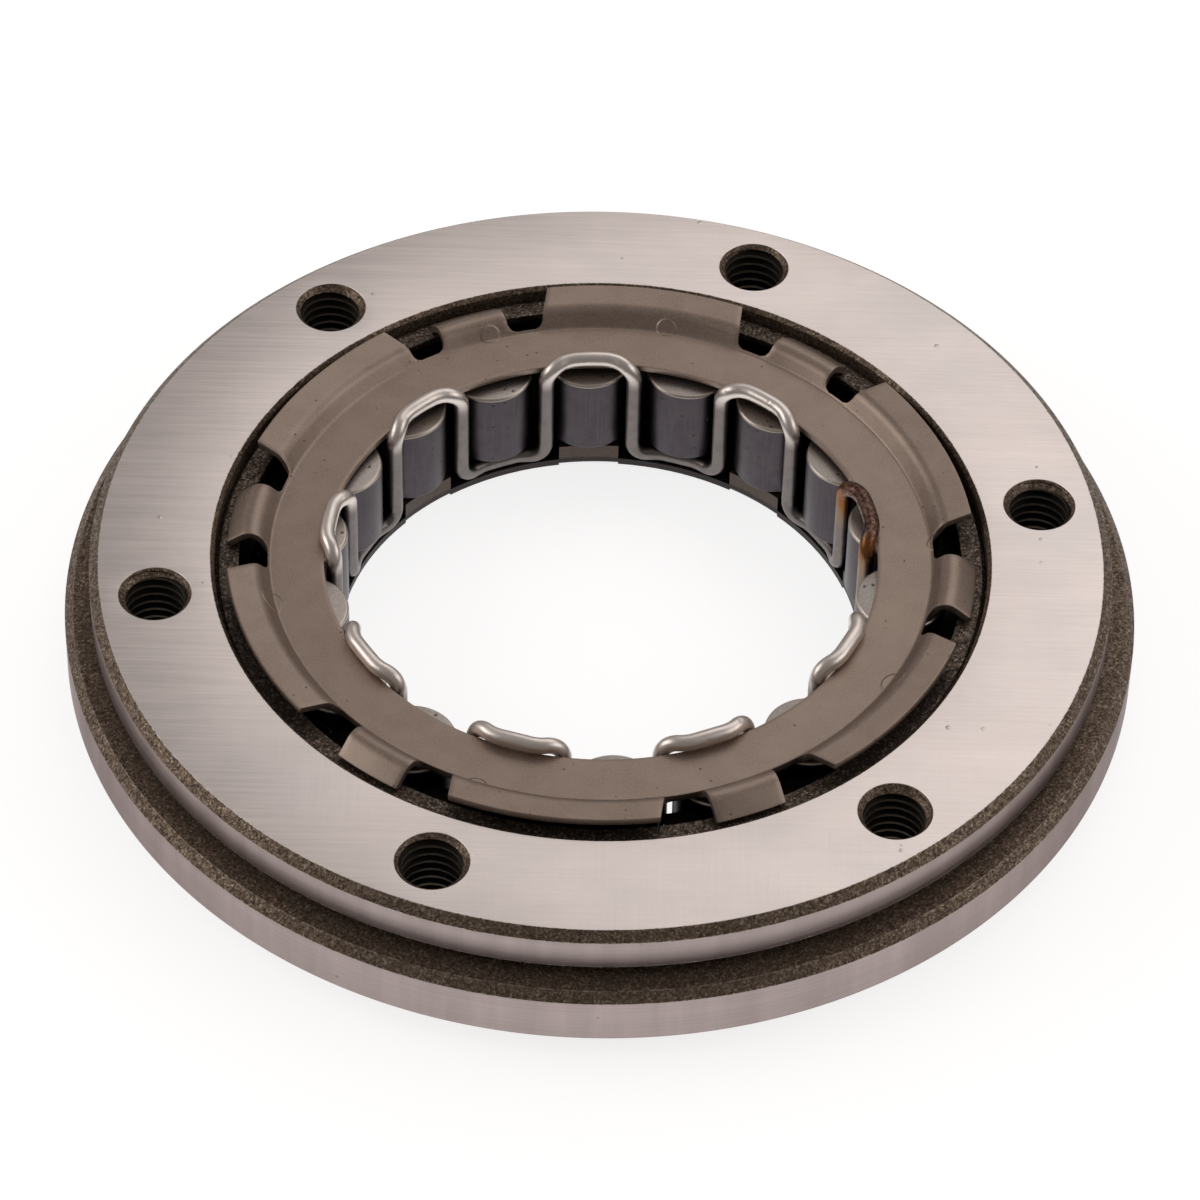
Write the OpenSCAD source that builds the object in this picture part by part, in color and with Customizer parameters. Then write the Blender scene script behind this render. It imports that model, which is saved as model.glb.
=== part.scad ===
// Starter clutch: a one-way roller clutch that bolts to a flywheel.
// The origin is at the middle of the bottom face, +Z points to the ground face with the bolt holes.

/* [Hub and rollers] */
// Diameter of the starter gear's hub that the rollers grip
hub_d = 60; // [50:0.5:70]
// Number of rollers
roller_count = 18; // [12:1:18]
// Diameter of a roller
roller_d = 10.4; // [9.4:0.1:11.4]
// How far the resting rollers reach inside the hub's surface, with no hub fitted
roller_reach = 0.1; // [0.05:0.01:0.3]
// Height of the lower roller ends above the lower plate
roller_lift = 2.4; // [2.2:0.1:2.8]
// Gap between the upper roller ends and the upper plate
roller_play = 0.8; // [0.4:0.1:1.2]
// Bevel at the roller ends
roller_bevel = 0.35; // [0.1:0.05:0.6]
// Direction of the first roller
roller_angle = 13.4; // [0:0.1:19.9]

/* [Race] */
// Distance from the roller circle to the tips of the cam teeth
tooth_gap = 3.2; // [2.9:0.1:3.6]
// Depth of the tops of the cam teeth below the ground face
tooth_drop = 4.0; // [3.5:0.1:4.5]
// Angle of each ramp to its tangent
ramp_angle = 8; // [6:0.5:9]
// Room between a roller and its spring's seat, along the ramp
seat_room = 0.8; // [0.7:0.05:0.9]
// Length of the ramp on its narrow side
ramp_narrow = 3.2; // [2.8:0.1:3.5]
// Wall from the resting rollers to the inner edge of the ledge
race_wall = 1.8; // [1.6:0.1:2.4]
// Width of the ledge, out to the bore
ledge_w = 2.8; // [2.4:0.1:3.4]
// Depth of the ledge below the ground face
ledge_drop = 1.66; // [1.5:0.01:1.85]
// Bevel round the outer top edge of the race
race_bevel = 0.55; // [0.2:0.05:0.8]

/* [Housing] */
// Full height of the housing
housing_h = 16.5; // [14.5:0.1:20]
// Width of the ground face, from the bore to the side of the boss
boss_w = 14.5; // [13:0.1:18]
// How far the flange stands out from the boss
flange_step = 3.1; // [2.4:0.1:6]
// Height of the underside of the flange above the bottom
flange_rise = 2.8; // [2.2:0.05:4]
// Height of the edge of the flange
flange_t = 7.1; // [5.5:0.05:7.5]
// Width of the bevel round the top of the flange
flange_bevel = 1.05; // [0.3:0.05:1.5]
// Height of the relief groove between flange and boss
groove_h = 1.6; // [1.2:0.1:2]
// Depth of the relief groove
groove_depth = 1.6; // [1:0.1:2.2]
// Width of the bevel round the top of the boss
boss_bevel = 1.1; // [0.4:0.1:1.4]
// Wall of the plain boss under the flange, outside the bore
lower_boss_w = 2.6; // [2:0.1:4]
// Bevel at the mouth of the bore
bore_bevel = 0.47; // [0.2:0.01:0.8]
// Height of the lip that carries the race
lip_h = 1.0; // [0.8:0.1:1.3]
// Depth of the lip inside the bore
lip_depth = 1.65; // [1:0.05:2]

/* [Flywheel bolt holes] */
// Number of tapped holes
bolt_count = 6; // [3:1:9]
// Distance from the bore to the circle through the holes
bolt_set = 7.1; // [6.2:0.1:8]
// Minor diameter of the M8 x 1.25 thread
tap_d = 6.8; // [6:0.1:7.4]
// Diameter of the countersink at the mouth
tap_mouth_d = 8.5; // [7.7:0.1:9.4]
// Direction of the first hole
bolt_angle = 10; // [0:1:59]

/* [Upper plate] */
// Thickness of the sheet of the upper plate
upper_t = 0.8; // [0.7:0.05:0.9]
// How far the plate reaches inwards from the roller circle
upper_cover = 2.9; // [2.6:0.1:3.2]
// Depth of its flat ring below the ground face
upper_drop = 1.0; // [0.8:0.05:1.2]
// Distance from the roller circle to the bend of the tabs
bend_set = 3.4; // [3:0.1:3.8]
// Inner radius of the bends
upper_bend_r = 1.0; // [0.8:0.1:1.2]
// Steepness of the rise
upper_rise_angle = 53; // [48:1:58]
// Height of the long tabs above the ground face, at the bend
long_bend_z = 1.0; // [0.8:0.05:1.2]
// Height of the outer edge of the long tabs above the ground face
long_edge_z = 1.4; // [1.2:0.05:1.6]
// Gap from the edge of the long tabs to the bore, seen from above
long_edge_set = 1.45; // [1.2:0.05:1.7]
// Width of a long tab
long_tab_w = 23.8; // [21:0.2:26.4]
// Height of the corner of the short tabs above the ground face, before it is rounded
short_bend_z = 1.6; // [1.4:0.05:1.8]
// Gap from the edge of the short tabs to the bore, seen from above
short_edge_set = 1.3; // [1.1:0.05:1.6]
// Width of a short tab
short_tab_w = 8.3; // [7:0.1:9.2]
// Number of pairs of tabs
tab_pairs = 6; // [4:1:6]
// Direction of the first short tab
tab_angle = 53.8; // [0:0.1:59.9]
// Distance from the bend of the tabs to the feet of the notches between them
notch_set = 0.2; // [0.1:0.05:0.5]
// Radius in the corners of the notches
notch_r = 1.0; // [0.5:0.1:1.2]

/* [Lower plate] */
// Thickness of the lower plate
lower_t = 0.9; // [0.7:0.05:0.95]
// Gap between the hub and the lower plate
lower_gap = 0.8; // [0.6:0.1:1.2]
// Width of the bent tabs under the rollers
lower_tab_w = 7.2; // [6:0.1:8]
// Outer radius of the bend at the foot of the tabs
lower_bend_r = 0.5; // [0.3:0.05:0.8]

/* [Retaining wire] */
// Thickness of the wire
wire_d = 1.5; // [1.3:0.1:1.7]
// Gap between the hub and the upright legs
wire_gap = 0.25; // [0.2:0.05:0.3]
// How far the upper runs lie outside the legs
wire_top_set = 1.45; // [1.2:0.05:1.6]
// How far the lower runs lie outside the legs
wire_low_set = 0.7; // [0.5:0.05:0.8]
// Gap between the upper runs and the upper plate
wire_lift = 0.4; // [0.2:0.05:0.6]

/* [Springs] */
// Thickness of the spring strip
spring_t = 0.25; // [0.2:0.01:0.3]
// Width of the spring strip, along the roller
spring_w = 7.6; // [6:0.1:8.4]
// Direction in which a spring presses on its roller, from the line of the ramp
spring_angle = 53; // [51:1:55]

/* [Hidden] */

$fn = 96;
eps = 0.01;
running_gap = 0.03;
seat_gap = 0.02;
push_gap = 0.1;
press_gap = 0.05;
tab_gap = 0.3;
groove_fillet = 0.4;
foot_bevel = 0.3;
lower_boss_bevel = 0.6;
lower_crease_r = 0.2;
boss_bevel_h = boss_bevel * 0.9;
bend_steps = 4;

hub_r = hub_d / 2;
roller_r = roller_d / 2;
roller_circle_r = hub_r - roller_reach + roller_r;
roller_step = 360 / roller_count;
roller_rise = lip_h + roller_lift;

upper_z = housing_h - upper_drop;
roller_l = upper_z - upper_t - roller_play - roller_rise;

tooth_tip_r = roller_circle_r + tooth_gap;
tooth_top = housing_h - tooth_drop;
ledge_r = roller_circle_r + roller_r + race_wall;
race_bore_r = ledge_r + ledge_w;
race_r = race_bore_r - seat_gap;
race_top = housing_h - ledge_drop;
ramp_deep = roller_r + seat_room;

boss_r = race_bore_r + boss_w;
flange_r = boss_r + flange_step;
lower_boss_r = race_bore_r + lower_boss_w;
lip_r = race_bore_r - lip_depth;
flange_top = flange_rise + flange_t;
boss_rise = flange_top + groove_h;
groove_r = boss_r - groove_depth;
bolt_circle_r = race_bore_r + bolt_set;

upper_bend_at = roller_circle_r + bend_set;
notch_foot_r = upper_bend_at + notch_set;
long_tab_r = race_bore_r - long_edge_set;
short_tab_r = race_bore_r - short_edge_set;
tab_step = 360 / tab_pairs;

lower_z = lip_h - lower_t;
lower_in_r = hub_r + lower_gap;

wire_r = wire_d / 2;
wire_runs = roller_count / 2;
wire_leg_r = hub_r + wire_gap + wire_r;
wire_top_z = upper_z + wire_lift + wire_r;
wire_low_z = lip_h + push_gap + wire_r;
spring_bend_r = spring_t * 0.6;

steel = [0.66, 0.63, 0.61];
phosphate = [0.33, 0.29, 0.25];
sheet_brown = [0.47, 0.42, 0.37];
roller_grey = [0.42, 0.41, 0.44];
wire_bright = [0.75, 0.72, 0.68];

// Plane geometry
function unit(v) = v / norm(v);
function right_of(v) = [v[1], -v[0]];
function polar(r, a, z) = [r * cos(a), r * sin(a), z];
function reversed(list) = [for (i = [len(list) - 1:-1:0]) list[i]];

// Points of an arc that rounds the corner b between a and c with radius r
function corner_arc(a, b, c, r) =
    let (
        u = unit(b - a),
        v = unit(c - b),
        side = cross(u, v) > 0 ? -1 : 1,
        turn = acos(u * v),
        start = b - u * r * tan(turn / 2)
    )
    [for (k = [0:bend_steps])
        let (t = turn * k / bend_steps)
        start + u * r * sin(t) + right_of(u) * side * r * (1 - cos(t))];

// The open path with each inner corner rounded by its own radius
function rounded_path(path, radii) =
    let (last = len(path) - 1)
    concat(
        [path[0]],
        [for (i = [1:last - 1]) each corner_arc(path[i - 1], path[i], path[i + 1], radii[i - 1])],
        [path[last]]
    );

// The path moved to its right side by d, with mitred corners
function shifted_path(path, d) =
    let (last = len(path) - 1)
    [for (i = [0:last])
        let (
            u = unit(path[max(i, 1)] - path[max(i, 1) - 1]),
            v = unit(path[min(i, last - 1) + 1] - path[min(i, last - 1)])
        )
        path[i] + (right_of(u) + right_of(v)) * d / (1 + u * v)];

// Outline of a bent sheet of thickness t whose upper surface follows the path
function sheet_outline(path, t, r) =
    let (
        inner = [for (i = [1:len(path) - 2]) i],
        climbs = [for (i = inner) cross(path[i] - path[i - 1], path[i + 1] - path[i]) > 0],
        upper = [for (c = climbs) c ? r : r + t],
        under = [for (c = climbs) c ? r + t : r]
    )
    concat(rounded_path(path, upper), reversed(rounded_path(shifted_path(path, t), under)));

// Housing: flange, register boss, bore and tapped holes
module housing() {
    bolt_z = flange_rise - eps;
    bolt_l = housing_h - bolt_z + eps;
    mouth = (tap_mouth_d - tap_d) / 2;
    color(steel)
    difference() {
        rotate_extrude()
            polygon(concat(
                [
                    [lip_r, 0],
                    [lower_boss_r - lower_boss_bevel, 0],
                    [lower_boss_r, lower_boss_bevel],
                    [lower_boss_r, flange_rise],
                    [flange_r - foot_bevel, flange_rise],
                    [flange_r, flange_rise + foot_bevel],
                    [flange_r, flange_top - flange_bevel],
                    [flange_r - flange_bevel, flange_top]
                ],
                corner_arc([flange_r, flange_top], [groove_r, flange_top], [groove_r, boss_rise],
                    groove_fillet),
                corner_arc([groove_r, flange_top], [groove_r, boss_rise], [boss_r, boss_rise],
                    groove_fillet),
                [
                    [boss_r, boss_rise],
                    [boss_r, housing_h - boss_bevel_h],
                    [boss_r - boss_bevel, housing_h],
                    [race_bore_r + bore_bevel, housing_h],
                    [race_bore_r, housing_h - bore_bevel],
                    [race_bore_r, lip_h],
                    [lip_r, lip_h]
                ]
            ));
        for (i = [0:bolt_count - 1])
            rotate([0, 0, bolt_angle + i * 360 / bolt_count])
            translate([bolt_circle_r, 0, 0]) {
                translate([0, 0, bolt_z]) cylinder(d = tap_d, h = bolt_l + eps);
                translate([0, 0, housing_h - mouth])
                    cylinder(d1 = tap_d, d2 = tap_mouth_d + 2 * eps, h = mouth + eps);
            }
    }
}

// Places in a pocket are given along the ramp and square to it, from the middle of the roller
ramp_dir = [sin(ramp_angle), cos(ramp_angle)];
ramp_out = [cos(ramp_angle), -sin(ramp_angle)];
function in_pocket(along, out) = [roller_circle_r, 0] + ramp_dir * along + ramp_out * out;
ramp_out_d = roller_r + running_gap;

// Free space of one roller and its spring
module pocket_2d() {
    flank_angle = roller_step / 2 - 2;
    polygon([
        in_pocket(-ramp_narrow, ramp_out_d),
        in_pocket(ramp_deep, ramp_out_d),
        in_pocket(ramp_deep, ramp_out_d - (ledge_r - tooth_tip_r)),
        [tooth_tip_r - roller_r / 2, 0],
        (tooth_tip_r - eps) * [cos(flank_angle), -sin(flank_angle)]
    ]);
}

// Hardened race with one ramp for each roller
module outer_race() {
    color(phosphate)
    difference() {
        rotate_extrude()
            polygon([
                [tooth_tip_r, lip_h],
                [race_r, lip_h],
                [race_r, race_top - race_bevel],
                [race_r - race_bevel, race_top],
                [ledge_r, race_top],
                [ledge_r, tooth_top],
                [tooth_tip_r, tooth_top]
            ]);
        translate([0, 0, lip_h - eps])
            linear_extrude(tooth_top - lip_h + 2 * eps)
            for (i = [0:roller_count - 1])
                rotate(roller_angle + i * roller_step) pocket_2d();
    }
}

// One roller, standing in its pocket
module roller(i) {
    top = roller_rise + roller_l;
    color(roller_grey)
    rotate([0, 0, roller_angle + (i - 1) * roller_step])
    translate([roller_circle_r, 0, 0])
    rotate_extrude()
        polygon([
            [0, roller_rise],
            [roller_r - roller_bevel, roller_rise],
            [roller_r, roller_rise + roller_bevel],
            [roller_r, top - roller_bevel],
            [roller_r - roller_bevel, top],
            [0, top]
        ]);
}

// One folded leaf spring between the tooth and the roller
module spring(i) {
    press_r = roller_r + push_gap;
    touch = press_r * [cos(spring_angle), sin(spring_angle)];
    tangent = [sin(spring_angle), -cos(spring_angle)];
    seat = ramp_deep - seat_gap - spring_t;
    path = [
        [seat, 0.58 * roller_r],
        [seat, 0.96 * roller_r],
        touch + tangent * 0.37 * roller_r,
        touch - tangent * 0.15 * roller_r
    ];
    middle = roller_rise + (tooth_top - roller_rise) / 2;
    color("silver")
    rotate([0, 0, roller_angle + (i - 1) * roller_step])
    translate([0, 0, middle - spring_w / 2])
    linear_extrude(spring_w)
        polygon([for (p = sheet_outline(path, spring_t, spring_bend_r)) in_pocket(p[0], p[1])]);
}

// Plan of a tab with parallel sides and rounded corners at its foot
module tab_plan(w) {
    corner = [
        sqrt(pow(notch_foot_r + notch_r, 2) - pow(w / 2 + notch_r, 2)),
        w / 2 + notch_r
    ];
    foot = unit(corner) * (notch_foot_r - eps);
    reach = 2 * notch_foot_r;
    translate([notch_foot_r * cos(asin(w / 2 / notch_foot_r)) - 1, -w / 2]) square([reach, w]);
    for (s = [-1, 1])
        scale([1, s])
        difference() {
            polygon([
                [foot[0] - 1, w / 2 - 0.5],
                [corner[0], w / 2 - 0.5],
                corner,
                foot
            ]);
            translate(corner) circle(notch_r);
        }
}

module tab_plans(w, first_angle) {
    for (i = [0:tab_pairs - 1])
        rotate(first_angle + i * tab_step) tab_plan(w);
}

// Upper plate: flat ring, long tabs that step up and short tabs that roll down onto the race
module upper_plate() {
    bend_x = upper_bend_at;
    upper_in_r = roller_circle_r - upper_cover;
    slope = tan(upper_rise_angle);
    long_x = bend_x + (long_bend_z + upper_drop) / slope;
    short_x = bend_x + (short_bend_z + upper_drop) / slope;
    short_edge = race_top + press_gap + upper_t * 0.794;
    long_path = [
        [upper_in_r, upper_z],
        [bend_x, upper_z],
        [long_x, housing_h + long_bend_z],
        [long_tab_r, housing_h + long_edge_z]
    ];
    short_path = [
        [upper_in_r, upper_z],
        [bend_x, upper_z],
        [short_x, housing_h + short_bend_z],
        [short_tab_r, short_edge]
    ];
    color(sheet_brown) {
        intersection() {
            rotate_extrude() polygon(sheet_outline(long_path, upper_t, upper_bend_r));
            linear_extrude(housing_h * 2) {
                circle(notch_foot_r);
                tab_plans(long_tab_w, tab_angle + tab_step / 2);
            }
        }
        intersection() {
            rotate_extrude() polygon(sheet_outline(short_path, upper_t, upper_bend_r));
            linear_extrude(housing_h * 2)
            difference() {
                tab_plans(short_tab_w, tab_angle);
                circle(notch_foot_r);
            }
        }
    }
}

// Plan of the strips that are bent up as tabs, one under every second roller
module lower_tab_plans() {
    for (i = [0:wire_runs - 1])
        rotate(roller_angle + 2 * i * roller_step)
        translate([0, -lower_tab_w / 2])
        square([race_bore_r, lower_tab_w]);
}

// Lower plate: flat ring pressed into the lip, with tabs bent up at its inner edge
module lower_plate() {
    plate_top = lower_z + lower_t;
    plate_r = lip_r - seat_gap;
    tab_back = lower_in_r + lower_t;
    tab_top = roller_rise - tab_gap;
    color(sheet_brown)
    difference() {
        rotate_extrude()
            polygon(concat(
                [
                    [plate_r, plate_top],
                    [plate_r, lower_z],
                    [lower_in_r, lower_z],
                    [lower_in_r, tab_top],
                    [tab_back, tab_top]
                ],
                corner_arc([tab_back, tab_top], [tab_back, plate_top], [plate_r, plate_top],
                    lower_crease_r)
            ));
        translate([0, 0, plate_top])
            linear_extrude(tab_top)
            difference() {
                circle(tab_back + 2 * lower_crease_r);
                lower_tab_plans();
            }
        intersection() {
            rotate_extrude()
                polygon(concat(
                    corner_arc([plate_r, lower_z], [lower_in_r, lower_z], [lower_in_r, tab_top],
                        lower_bend_r),
                    [
                        [lower_in_r - eps, lower_z + lower_bend_r],
                        [lower_in_r - eps, lower_z - eps],
                        [lower_in_r + lower_bend_r, lower_z - eps]
                    ]
                ));
            translate([0, 0, -lower_t]) linear_extrude(housing_h) lower_tab_plans();
        }
    }
}

// Half a wave of the wire, as angle from the middle of the upper run, radius and height
function half_wave() =
    let (
        leg = roller_step / 2,
        top = wire_top_z,
        low = wire_low_z,
        r = wire_leg_r,
        out = wire_top_set,
        foot = wire_low_set
    )
    [
        [0, r + out, top],
        [0.3 * leg, r + out, top],
        [0.52 * leg, r + 0.83 * out, top],
        [0.72 * leg, r + 0.45 * out, top - 0.03 * wire_d],
        [0.87 * leg, r + 0.17 * out, top - 0.23 * wire_d],
        [0.96 * leg, r + 0.04 * out, top - 0.63 * wire_d],
        [leg, r, top - 1.2 * wire_d],
        [leg, r, low + 2.4 * wire_d],
        [leg, r, low + 1.5 * wire_d],
        [1.03 * leg, r, low + 0.87 * wire_d],
        [1.13 * leg, r + 0.07 * foot, low + 0.33 * wire_d],
        [1.28 * leg, r + 0.36 * foot, low + 0.07 * wire_d],
        [1.5 * leg, r + 0.86 * foot, low],
        [1.75 * leg, r + foot, low]
    ];

// Points of the closed wire, as angle, radius and height
function wire_polar() =
    let (
        half = half_wave(),
        n = len(half),
        wave = 2 * roller_step
    )
    [for (j = [0:wire_runs - 1])
        each concat(
            [for (k = [0:n - 1]) [half[k][0] + j * wave, half[k][1], half[k][2]]],
            [[roller_step + j * wave, wire_leg_r + wire_low_set, wire_low_z]],
            [for (k = [n - 1:-1:1]) [wave - half[k][0] + j * wave, half[k][1], half[k][2]]]
        )];

// A smooth closed curve through the points, with a point added halfway along each bent stretch
function smoothed(p) =
    let (n = len(p))
    [for (i = [0:n - 1])
        let (
            a = p[(i + n - 1) % n],
            b = p[i],
            c = p[(i + 1) % n],
            d = p[(i + 2) % n]
        )
        each unit(b - a) * unit(d - c) > cos(24) ? [b] : [b, (9 * (b + c) - a - d) / 16]];

// Retaining wire: one closed wave over the upper plate and down between the rollers
module retaining_wire() {
    sides = 10;
    centre = smoothed([for (q = wire_polar()) polar(q[1], q[0], q[2])]);
    n = len(centre);
    rings = [for (i = [0:n - 1])
        let (
            p = centre[i],
            t = unit(centre[(i + 1) % n] - centre[(i + n - 1) % n]),
            out = unit([p[0], p[1], 0]),
            u = unit(out - (out * t) * t),
            v = cross(t, u)
        )
        each [for (k = [0:sides - 1])
            p + wire_r * (cos(k * 360 / sides) * u + sin(k * 360 / sides) * v)]];
    skin = [for (i = [0:n - 1], k = [0:sides - 1])
        let (
            a = i * sides,
            b = ((i + 1) % n) * sides,
            m = (k + 1) % sides
        )
        each [[a + k, b + m, a + m], [a + k, b + k, b + m]]];
    color(wire_bright)
    rotate([0, 0, roller_angle])
        polyhedron(points = rings, faces = skin);
}

housing();
outer_race();
upper_plate();
lower_plate();
retaining_wire();
for (i = [1:roller_count]) {
    mark = str(i < 10 ? "0" : "", i);
    roller(i);
    spring(i);
}
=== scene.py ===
"""Looks of the starter clutch: turned housing, pressed plates, rollers and retaining wire."""
import math

import bpy
import numpy as np
from mathutils import Matrix, Vector


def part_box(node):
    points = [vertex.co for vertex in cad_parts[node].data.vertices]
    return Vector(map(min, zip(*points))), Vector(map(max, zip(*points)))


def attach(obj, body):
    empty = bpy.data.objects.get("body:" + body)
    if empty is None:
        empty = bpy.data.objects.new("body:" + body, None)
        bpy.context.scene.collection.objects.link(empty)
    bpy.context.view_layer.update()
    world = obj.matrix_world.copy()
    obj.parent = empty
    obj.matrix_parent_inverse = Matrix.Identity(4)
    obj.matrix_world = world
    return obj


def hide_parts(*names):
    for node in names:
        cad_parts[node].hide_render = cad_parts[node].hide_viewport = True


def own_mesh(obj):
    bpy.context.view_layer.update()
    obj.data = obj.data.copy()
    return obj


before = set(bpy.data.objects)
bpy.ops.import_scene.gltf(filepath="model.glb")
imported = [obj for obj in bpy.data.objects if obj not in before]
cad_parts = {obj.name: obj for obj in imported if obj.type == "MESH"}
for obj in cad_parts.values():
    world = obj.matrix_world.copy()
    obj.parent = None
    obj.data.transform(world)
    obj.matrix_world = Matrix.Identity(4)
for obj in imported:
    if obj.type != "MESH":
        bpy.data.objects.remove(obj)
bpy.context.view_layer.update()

MM = 0.001
TAU = 2 * math.pi

# Driving dimensions, in millimetres
HOUSING_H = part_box("housing")[1].z / MM
FLANGE_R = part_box("housing")[1].x / MM
BOSS_R = 59.4
FLANGE_RISE = 2.8
FLANGE_TOP = 9.9
FLANGE_BEVEL = 1.05
GROOVE_TOP = 11.5
GROOVE_R = 57.8
GROOVE_FILLET = 0.4
BOSS_BEVEL = 1.1
BOSS_BEVEL_H = BOSS_BEVEL * 0.9
LOWER_BOSS_R = 47.5
LOWER_CHAMFER = 0.6
LOWER_FLANGE_BEVEL = 0.3
BORE_R = 44.9
BORE_BEVEL = 0.47
LIP_R = 43.25
LIP_H = 1.0
LEDGE_Z = 14.84
BOLT_CIRCLE_R = 52.0
BOLT_COUNT = 6
BOLT_ANGLE = 10.0
TAP_R = 3.4
THREAD_R = 4.02
THREAD_PITCH = 1.25
MOUTH_R = 4.25

ROLLER_COUNT = 18
ROLLER_ANGLE = 13.4
ROLLER_CIRCLE_R = 35.1
ROLLER_R = 5.2
ROLLER_LOW = 3.4
ROLLER_L = 10.5
ROLLER_TOP = ROLLER_LOW + ROLLER_L
ROLLER_EDGE_R = 0.35
ROLLER_STEP = 360 / ROLLER_COUNT

SHEET_T = 0.8
UPPER_IN_R = 32.2
UPPER_Z = 15.5
UPPER_BEND_R = 38.5
CREASE_R = 0.25
NOTCH_FOOT_R = 38.7
NOTCH_R = 1.0
TAB_PAIRS = 6
TAB_ANGLE = 53.8
LONG_TAB_W = 23.8
SHORT_TAB_W = 8.3
TAB_CLIMB = 53
# Ends of the two kinds of tabs: height of the crest over the ground face, radius of the edge
LONG_CREST, LONG_EDGE_R, LONG_EDGE = 1.0, 43.45, 1.4
SHORT_CREST, SHORT_EDGE_R = 1.6, 43.6
# Height that the sloping sheet takes over the ledge, as a share of its thickness, and the gap there
SHORT_EDGE_SHARE, SHORT_EDGE_GAP = 0.794, 0.05
# Marks that the press left: their distance from the axis, then direction in degrees and radius of each
PRESS_MARK_R = UPPER_BEND_R + 0.9
PRESS_MARKS = ((329.9, 1.95), (193.7, 1.9), (4.4, 1.4), (111.2, 1.5), (79.3, 1.5), (250.0, 1.6))

WIRE_R = 0.94
WIRE_LEG_R = 31.0
WIRE_TOP_R = 31.95
WIRE_LOW_R = 31.7
WIRE_TOP_Z = UPPER_Z + 0.10 + WIRE_R
WIRE_LOW_Z = LIP_H + WIRE_R + 0.02
WIRE_TOP_BEND_R = 2.3
WIRE_ARCH = 0.15
WIRE_LOW_BEND_R = 2.1
WIRE_LEG_ANGLE = 9.8
WIRE_MEAN_R = 31.2
# Share of a run over which it moves out from the legs
WIRE_SWAY = 0.6

# Spring strip: along the ramp and square to it, from the middle of the roller
RAMP_ANGLE = 8.0
SPRING_PATH = ((5.85, 3.0), (5.85, 4.75), (4.9, 3.2), (3.3, 4.36), (2.68, 4.82))
SPRING_T = 0.25
SPRING_LOW = 4.15
SPRING_W = 7.6

# Linear colours, first those of the housing
STEEL = (0.78, 0.70, 0.665, 1.0)
STAINED_STEEL = (0.73, 0.667, 0.64, 1.0)
SHADED_TURNED_STEEL = (0.40, 0.332, 0.318, 1.0)
TURNED_EDGE = (0.50, 0.47, 0.47, 1.0)
POCK_BROWN = (0.16, 0.125, 0.09, 1.0)
COAT_DARK = (0.066, 0.045, 0.031, 1.0)
COAT_LIGHT = (0.220, 0.160, 0.116, 1.0)
COAT_SPARKLE = (0.55, 0.44, 0.34, 1.0)
BURR_HIGHLIGHT_STEEL = (0.50, 0.42, 0.35, 1.0)
THREAD_SHADE = (0.008, 0.006, 0.004, 1.0)
THREAD_CREST_GLINT = (0.13, 0.10, 0.07, 1.0)

RACE_DARK = (0.022, 0.015, 0.011, 1.0)
RACE_LIGHT = (0.135, 0.100, 0.076, 1.0)
RACE_SPARKLE = (0.45, 0.37, 0.30, 1.0)
POCKET_SHADE = (0.016, 0.012, 0.010, 1.0)

SHEET_DARK = (0.285, 0.214, 0.172, 1.0)
SHEET_LIGHT = (0.345, 0.266, 0.217, 1.0)
SHEET_FLECK = (0.385, 0.306, 0.256, 1.0)
SHEET_PIT = (0.05, 0.038, 0.028, 1.0)
SHEET_GRIT = (0.62, 0.52, 0.42, 1.0)

LOWER_DARK = (0.090, 0.068, 0.058, 1.0)
LOWER_LIGHT = (0.125, 0.096, 0.082, 1.0)
LOWER_FOOT_SHADE = (0.052, 0.043, 0.044, 1.0)

WIRE_SHADE_DARK = (0.180, 0.159, 0.152, 1.0)
WIRE_SHADE_LIGHT = (0.230, 0.205, 0.195, 1.0)
WIRE_TOP_HIGHLIGHT = (0.82, 0.745, 0.69, 1.0)
TINT_STRAW = (0.26, 0.19, 0.125, 1.0)
TINT_ORANGE = (0.27, 0.105, 0.035, 1.0)
SCALE_DARK = (0.075, 0.036, 0.026, 1.0)
SCALE_LIGHT = (0.23, 0.145, 0.112, 1.0)

ROLLER_SHADE_DARK = (0.076, 0.064, 0.073, 1.0)
ROLLER_SHADE_LIGHT = (0.092, 0.079, 0.087, 1.0)
ROLLER_SHADE_STREAK = (0.101, 0.088, 0.095, 1.0)
END_DARK = (0.40, 0.355, 0.33, 1.0)
END_LIGHT = (0.50, 0.45, 0.42, 1.0)
ROLLER_RIM_HIGHLIGHT = (0.62, 0.55, 0.48, 1.0)
ROLLER_PIT = (0.06, 0.05, 0.05, 1.0)

SPRING_SHADE_DARK = (0.12, 0.10, 0.085, 1.0)
SPRING_SHADE_LIGHT = (0.20, 0.17, 0.145, 1.0)

WHITE = (1.0, 1.0, 1.0, 1.0)
PAPER = (0.45, 0.44, 0.44, 1.0)
ROOM_FRONT = (0.19, 0.178, 0.171, 1.0)
ROOM_BACK = (0.31, 0.292, 0.283, 1.0)

LAMP_TINT = (1.0, 0.97, 0.955)
FLOOR_GLOW = 0.80

# Camera, from the circles of the photograph
CAMERA_AT = (0.0, -462.06, 469.36 + HOUSING_H)
CAMERA_TILT = 44.033
CAMERA_ROLL = 1.414
CAMERA_LENS = 170.14


# Meshes
def add_object(name, mesh):
    obj = bpy.data.objects.new(name, mesh)
    bpy.context.scene.collection.objects.link(obj)
    return obj


def mesh_from(name, points, faces, sharp=32.0):
    """A mesh from millimetre points, smooth up to the sharp angle."""
    mesh = bpy.data.meshes.new(name)
    mesh.from_pydata([[c * MM for c in p] for p in points], [], faces)
    finish_mesh(mesh, sharp)
    return mesh


def finish_mesh(mesh, sharp=32.0):
    """Smooth shading, with creases over the sharp angle."""
    mesh.polygons.foreach_set("use_smooth", [True] * len(mesh.polygons))
    mesh.set_sharp_from_angle(angle=math.radians(sharp))
    mesh.update()


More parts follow.
